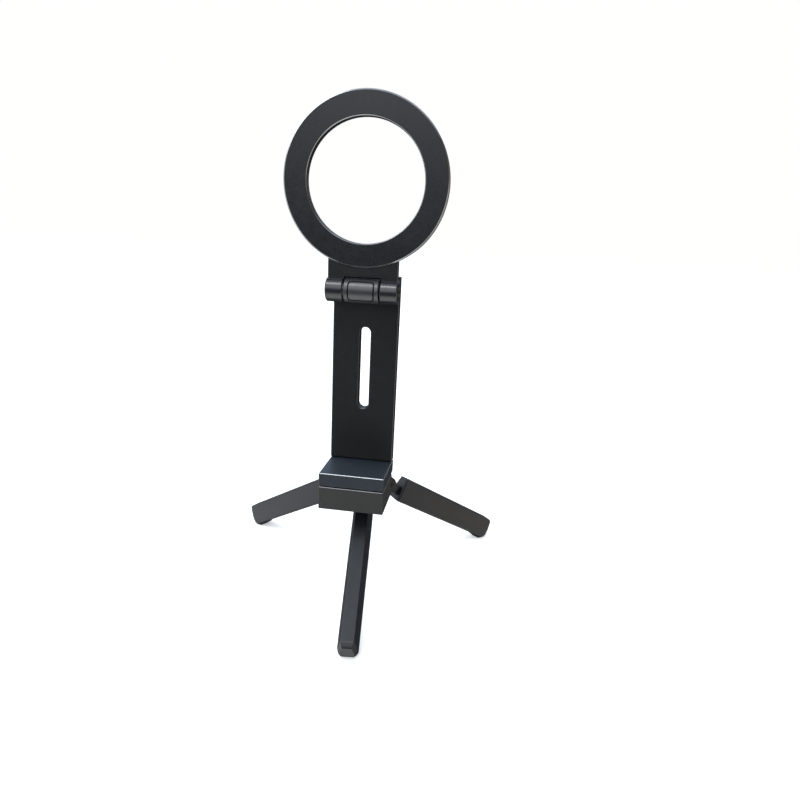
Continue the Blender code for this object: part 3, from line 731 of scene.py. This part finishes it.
def build_stack():
    low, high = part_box("lock_ring")
    radius, ridge, ridges, samples = size_of("lock_ring").x / 2, 0.00025, 24, 10
    outline = []
    for i in range(ridges * samples):
        turn = 2 * math.pi * i / (ridges * samples)
        crest = 0.5 + 0.5 * math.cos(ridges * turn)
        reach = radius - ridge * (1 - crest**0.6)
        outline.append((reach * math.cos(turn), reach * math.sin(turn)))
    bore = arc((0, 0), STUD_RADIUS + 0.0003, 360, 0, 48)[:-1]
    ring = prism([outline, bore], edge_levels(high.z, low.z, 0.00022), HUB_LEVEL)
    piece("lock_ring_fine", ring, [SATIN, EDGE], "lock_ring", ["lock_ring"])
    low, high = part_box("head_pad")
    inner, outer = STUD_RADIUS + 0.0003, 0.0088
    pad = [(inner, low.z), (outer, low.z), (outer, high.z), (inner, high.z)]
    bm = lathe(ease(pad, 0.00015), 96, HUB_LEVEL, edge_slot=0)
    piece("head_pad_fine", bm, [RUBBER], "tripod", ["head_pad"])
    low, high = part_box("thread_insert")
    inner, outer = STUD_RADIUS + 0.0002, 0.0045
    bush = [(inner, low.z), (outer, low.z), (outer, high.z), (inner, high.z)]
    bm = lathe(ease(bush, 0.00025, 2), 72, HUB_LEVEL)
    piece("thread_insert_fine", bm, [BRASS, BRASS], "bracket", ["thread_insert"])
    low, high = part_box("hub_nut")
    outline = arc((0, 0), 0.0048, 0, 360, 6)[:-1]
    bore = arc((0, 0), STUD_RADIUS + 0.0002, 360, 0, 48)[:-1]
    nut = prism([ease(outline, 0.0003), bore], edge_levels(high.z, low.z, 0.0002), turned_hub())
    piece("hub_nut_fine", nut, [ZINC, ZINC], "tripod", ["hub_nut"])


def turned_hub():
    """The hub's own frame: its front leg lies along its -Y."""
    pin = middle_of("leg_pin_front")
    turn = math.atan2(pin.x - HUB.x, HUB.y - pin.y)
    return HUB_LEVEL @ Matrix.Rotation(turn, 4, "Z")


def build_stud():
    """The quarter-inch stud: a thread of 20 turns to the inch, a helix faded out at both ends."""
    low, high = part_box("tripod_stud")
    pitch, depth, around = 0.00127, 0.00050, 40
    length = high.z - low.z
    rows = int(length / pitch * 10)
    bm = bmesh.new()
    rings = []
    for row in range(rows + 1):
        height = length * row / rows
        fade = min(1.0, height / pitch, (length - height) / pitch)
        ring = []
        for i in range(around):
            turn = 2 * math.pi * i / around
            phase = (height / pitch - i / around) % 1.0
            groove = max(0.0, 1 - abs(phase - 0.5) * 2.4)
            radius = STUD_RADIUS - 0.00002 - depth * groove * fade - 0.0003 * (1 - fade)
            x, y = radius * math.cos(turn), radius * math.sin(turn)
            ring.append(bm.verts.new((x, y, low.z + height)))
        rings.append(ring)
    for first, second in zip(rings, rings[1:]):
        for i in range(around):
            j = (i + 1) % around
            bm.faces.new((first[i], first[j], second[j], second[i]))
    bm.faces.new(rings[0])
    bm.faces.new(rings[-1])
    settle(bm, HUB_LEVEL)
    piece("tripod_stud_fine", bm, [ZINC], "tripod", ["tripod_stud"], sharp=60)


def fork_frames():
    """For each leg: its pivot, and the frame about it whose -Y runs out along the leg, level."""
    frames = {}
    for name in LEG_NAMES:
        pin = middle_of(f"leg_pin_{name}")
        turn = math.atan2(pin.x - HUB.x, HUB.y - pin.y)
        frames[name] = Matrix.Translation(pin) @ Matrix.Rotation(turn, 4, "Z")
    return frames


def build_hub():
    seat = 0.0016
    bore = STUD_RADIUS + 0.0002
    profile = [
        (bore, HUB_TOP),
        (HUB_RADIUS - 0.0005, HUB_TOP),
        (HUB_RADIUS, HUB_TOP - 0.0005),
        (HUB_RADIUS, HUB_BOTTOM + 0.0005),
        (HUB_RADIUS - 0.0005, HUB_BOTTOM),
        (0.0052, HUB_BOTTOM),
        (0.0052, HUB_BOTTOM + seat),
        (bore, HUB_BOTTOM + seat),
    ]
    core = lathe(ease(profile, 0.00015), 128, HUB_LEVEL)
    joined, cut = [], []
    for place in fork_frames().values():
        half = EAR_HALF
        ear = [
            (0, -half),
            (EAR_RADIUS - 0.0003, -half),
            (EAR_RADIUS, -half + 0.0003),
            (EAR_RADIUS, half - 0.0003),
            (EAR_RADIUS - 0.0003, half),
            (0, half),
        ]
        joined.append(lathe(ease(ear, 0.0001, closed=False), 72, place @ ACROSS, False))
        joined.append(
            box(
                (-half + 0.00005, 0.0, -EAR_RADIUS + 0.0001),
                (half - 0.00005, PIVOT_RADIUS - 0.0040, EAR_RADIUS - 0.0001),
                place,
            )
        )
        cut.append(
            box(
                (-TONGUE_GAP, -EAR_RADIUS - 0.002, -0.02),
                (TONGUE_GAP, LEG_TONGUE_RADIUS + 0.0005, 0.02),
                place,
            )
        )
        cut.append(cylinder(PIN_RADIUS + 0.0002, -0.006, 0.006, place @ ACROSS))
    piece(
        "tripod_hub_fine",
        core,
        [SATIN, EDGE],
        "tripod",
        ["tripod_hub"],
        joined=joined,
        cut=cut,
    )


def leg_section(along, half, depth, soft):
    """A leg's section: a flat top, drafted flanks down to a knee, and upright lower sides."""
    flat = 0.64 * half
    knee = -0.15 * depth
    corner = 0.0006
    right = [(flat, depth), (half, knee), (half, -depth + corner), (half - corner, -depth)]
    outline = right + [(-x, z) for x, z in reversed(right)]
    return [Vector((x, -along, z)) for x, z in ease(outline, soft, 3)]


def build_legs():
    for name, place in fork_frames().items():
        slope = place @ Matrix.Rotation(LEG_SLOPE, 4, "X")
        steps = [
            (LEG_START, LEG_ROOT_HALF - 0.0005, LEG_ROOT_DEPTH - 0.0004),
            (LEG_START + 0.00015, LEG_ROOT_HALF - 0.0003, LEG_ROOT_DEPTH - 0.0002),
            (LEG_START + 0.0006, LEG_ROOT_HALF - 0.00003, LEG_ROOT_DEPTH - 0.00003),
            (LEG_START + 0.0009, LEG_ROOT_HALF, LEG_ROOT_DEPTH),
            (LEG_LENGTH - 0.0023, LEG_TIP_HALF, LEG_TIP_DEPTH),
            (LEG_LENGTH - 0.0019, LEG_TIP_HALF - 0.0001, LEG_TIP_DEPTH - 0.0001),
            (LEG_LENGTH - 0.0006, LEG_TIP_HALF - 0.0008, LEG_TIP_DEPTH - 0.0009),
            (LEG_LENGTH - 0.0002, LEG_TIP_HALF - 0.00115, LEG_TIP_DEPTH - 0.00125),
            (LEG_LENGTH, LEG_TIP_HALF - 0.0016, LEG_TIP_DEPTH - 0.0017),
        ]
        bar = loft([leg_section(a, h, d, 0.00022) for a, h, d in steps], slope)
        radius = LEG_TONGUE_RADIUS
        tongue = [(-LEG_START - 0.001, -radius + 0.0001), (-0.0008, -radius + 0.0001)]
        tongue += arc((0, 0), radius, -76, 158, 40)
        tongue += [(-LEG_START - 0.001, 0.0012)]
        hole = arc((0, 0), PIN_RADIUS + 0.0002, 360, 0, 32)[:-1]
        half = LEG_TONGUE_HALF
        shank = prism([tongue, hole], edge_levels(-half, half, 0.00018), slope @ ACROSS)
        body = f"{name}_leg"
        node = f"leg_{name}"
        piece(node + "_fine", bar, [LEG_GREY, EDGE], body, [node], joined=[shank])
        build_foot_pad(name, slope, body)
        half, step = EAR_HALF - 0.0002, 0.00025
        pin = [(0, -half), (PIN_RADIUS - step, -half), (PIN_RADIUS, -half + step)]
        pin += [(PIN_RADIUS, half - step), (PIN_RADIUS - step, half), (0, half)]
        bm = lathe(ease(pin, 0.0001, closed=False), 48, place @ ACROSS, False, 0)
        piece(f"leg_pin_{name}_fine", bm, [ZINC], "tripod", [f"leg_pin_{name}"])


def build_foot_pad(name, slope, body):
    """A low rubber pad under the tip, with three grooves across it, level along the floor."""
    start, end = PAD_START, PAD_END
    top, low = -LEG_TIP_DEPTH - 0.00012, -LEG_TIP_DEPTH - 0.0011
    height = middle_of(f"leg_pin_{name}").z
    at_end = (end * math.sin(LEG_SLOPE) - height) / math.cos(LEG_SLOPE)
    sole = end - (at_end - low) / math.tan(LEG_SLOPE)
    outline = [(-start, top), (-start, low + 0.0005), (-start - 0.0005, low)]
    for groove in (0.0013, 0.0022, 0.0031):
        outline += [
            (-start - groove + 0.0002, low),
            (-start - groove + 0.00008, low + 0.00025),
            (-start - groove - 0.00008, low + 0.00025),
            (-start - groove - 0.0002, low),
        ]
    outline += [(-sole, low), (-end, at_end), (-end, top)]
    levels = edge_levels(-PAD_HALF, PAD_HALF, 0.0002)
    bm = prism([outline[::-1]], levels, slope @ ACROSS, 0)
    piece(f"foot_pad_{name}_fine", bm, [RUBBER], body, [f"foot_pad_{name}"])


# ---------------------------------------------------------------- what stays from the frame


def finish_kept_nodes():
    for name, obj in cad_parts.items():
        if obj.hide_render:
            continue
        material = ZINC
        if name.startswith("magnet"):
            material = NICKEL
        for held in obj.material_slots:
            held.material = material


# ---------------------------------------------------------------- stage, light and camera


def build_floor():
    bm = bmesh.new()
    bmesh.ops.create_circle(bm, cap_ends=True, radius=7.0, segments=96)
    n = Nodes("pale_floor")
    cloud = n.noise(1.3, 3.0)
    tone = n.blend(n.spread(cloud, 0.0, 1.0), (0.90, 0.90, 0.895), (0.925, 0.925, 0.925))
    n.shader.inputs["Emission Color"].default_value = (1, 1, 1, 1)
    n.shader.inputs["Emission Strength"].default_value = 0.42
    material = n.finish(tone, n.spread(cloud, 0.85, 0.95), 0.0, 0.1)
    floor = make("floor", bm, [material])
    floor.visible_glossy = False


LOBES = (
    # towards, colour, strength, where the lobe starts and where it is full, as cosines
    ((-1.0, -0.15, 0.10), (0.95, 0.98, 1.05), 0.95, 0.50, 0.92),
    ((0.0, 0.10, 1.0), (0.92, 1.0, 1.14), 1.10, 0.55, 0.95),
    ((-0.13, -0.78, 0.61), (0.97, 1.0, 1.04), 2.10, 0.80, 0.97),
    ((0.10, -0.45, -0.89), (1.0, 0.99, 0.95), 1.70, 0.74, 0.94),
    ((0.90, 0.0, -0.42), (1.0, 0.97, 0.90), 0.80, 0.75, 0.97),
    ((-0.80, 0.0, -0.60), (1.0, 1.0, 1.0), 0.80, 0.70, 0.97),
    ((1.0, -0.10, 0.05), (0.50, 0.38, 0.30), 0.65, 0.75, 0.97),
    ((-0.25, 0.75, 0.60), (0.60, 0.82, 1.10), 0.70, 0.70, 0.97),
)
AMBIENT = (0.062, 0.067, 0.075)
BACKDROP = (1.0, 1.0, 0.995, 1.0)


def build_world():
    """White to the camera. To the object, a dim room with soft lit areas around it."""
    world = bpy.data.worlds.new("studio")
    bpy.context.scene.world = world
    world.use_nodes = True
    tree = world.node_tree
    tree.nodes.clear()
    coords = tree.nodes.new("ShaderNodeTexCoord").outputs["Generated"]
    total = None
    for towards, colour, strength, start, full in LOBES:
        dot = tree.nodes.new("ShaderNodeVectorMath")
        dot.operation = "DOT_PRODUCT"
        dot.inputs[1].default_value = Vector(towards).normalized()
        tree.links.new(coords, dot.inputs[0])
        ramp = tree.nodes.new("ShaderNodeMapRange")
        ramp.interpolation_type = "SMOOTHSTEP"
        ramp.inputs["From Min"].default_value = start
        ramp.inputs["From Max"].default_value = full
        tree.links.new(dot.outputs["Value"], ramp.inputs["Value"])
        tint = tree.nodes.new("ShaderNodeVectorMath")
        tint.operation = "SCALE"
        tint.inputs[0].default_value = Vector(colour) * strength
        tree.links.new(ramp.outputs["Result"], tint.inputs["Scale"])
        add = tree.nodes.new("ShaderNodeVectorMath")
        add.operation = "ADD"
        if total is None:
            add.inputs[0].default_value = AMBIENT
        else:
            tree.links.new(total, add.inputs[0])
        tree.links.new(tint.outputs["Vector"], add.inputs[1])
        total = add.outputs["Vector"]
    room = tree.nodes.new("ShaderNodeBackground")
    tree.links.new(total, room.inputs["Color"])
    backdrop = tree.nodes.new("ShaderNodeBackground")
    backdrop.inputs["Color"].default_value = BACKDROP
    backdrop.inputs["Strength"].default_value = 1.0
    path = tree.nodes.new("ShaderNodeLightPath")
    mix = tree.nodes.new("ShaderNodeMixShader")
    tree.links.new(path.outputs["Is Camera Ray"], mix.inputs[0])
    tree.links.new(room.outputs[0], mix.inputs[1])
    tree.links.new(backdrop.outputs[0], mix.inputs[2])
    output = tree.nodes.new("ShaderNodeOutputWorld")
    tree.links.new(mix.outputs[0], output.inputs["Surface"])


LIGHTS = (
    # name, direction from the stand, distance, width, height, watts, colour
    ("upper_left", (-0.66, 0.30, 0.68), 0.9, 0.26, 0.72, 2.6, (1.0, 1.0, 1.0)),
    ("top_front", (-0.22, -0.50, 0.84), 1.0, 0.50, 0.22, 2.2, (0.97, 0.99, 1.0)),
    ("right_back", (0.50, 0.84, 0.24), 1.1, 0.14, 0.24, 0.4, (1.0, 0.99, 0.97)),
)


def build_lights():
    aim = Vector((MID_X, HINGE_Y, 0.10))
    for name, towards, distance, width, height, watts, colour in LIGHTS:
        data = bpy.data.lights.new(name, "AREA")
        data.shape = "RECTANGLE"
        data.size, data.size_y = width, height
        data.energy = watts
        data.color = colour
        light = bpy.data.objects.new(name, data)
        light.location = aim + Vector(towards).normalized() * distance
        light.rotation_mode = "QUATERNION"
        light.rotation_quaternion = (light.location - aim).to_track_quat("Z", "Y")
        light.visible_camera = False
        bpy.context.scene.collection.objects.link(light)


CAMERA_FROM_HINGE = Vector((0.045519, -0.221377, 0.01957))
CAMERA_TURNS = (7.576, -15.122, 2.872)  # yaw, pitch and roll, in degrees
CAMERA_LENS, CAMERA_SENSOR = 26.89, 36.0  # in millimetres


def build_camera():
    """In front of the stand, to its right and a little above the hinge, looking down at it."""
    yaw, pitch, roll = (math.radians(turn) for turn in CAMERA_TURNS)
    level = math.cos(pitch)
    forward = Vector((-math.sin(yaw) * level, math.cos(yaw) * level, math.sin(pitch)))
    right = forward.cross(Vector((0, 0, 1))).normalized()
    up = right.cross(forward)
    tilted_right = right * math.cos(roll) + up * math.sin(roll)
    tilted_up = up * math.cos(roll) - right * math.sin(roll)
    data = bpy.data.cameras.new("camera")
    data.lens = CAMERA_LENS
    data.sensor_width = CAMERA_SENSOR
    data.clip_start, data.clip_end = 0.01, 50.0
    camera = bpy.data.objects.new("camera", data)
    place = Vector((MID_X, HINGE_Y, HINGE_Z)) + CAMERA_FROM_HINGE
    turn = Matrix((tilted_right, tilted_up, -forward)).transposed().to_4x4()
    camera.matrix_world = Matrix.Translation(place) @ turn
    bpy.context.scene.collection.objects.link(camera)
    bpy.context.scene.camera = camera


build_ring_cover()
build_ring_frame()
build_hinge_hardware()
build_arm()
build_hinge_cover()
build_foot()
build_cap_screws()
build_stack()
build_stud()
build_hub()
build_legs()
finish_kept_nodes()
build_floor()
build_world()
build_lights()
build_camera()
bpy.context.scene.view_settings.view_transform = "Standard"
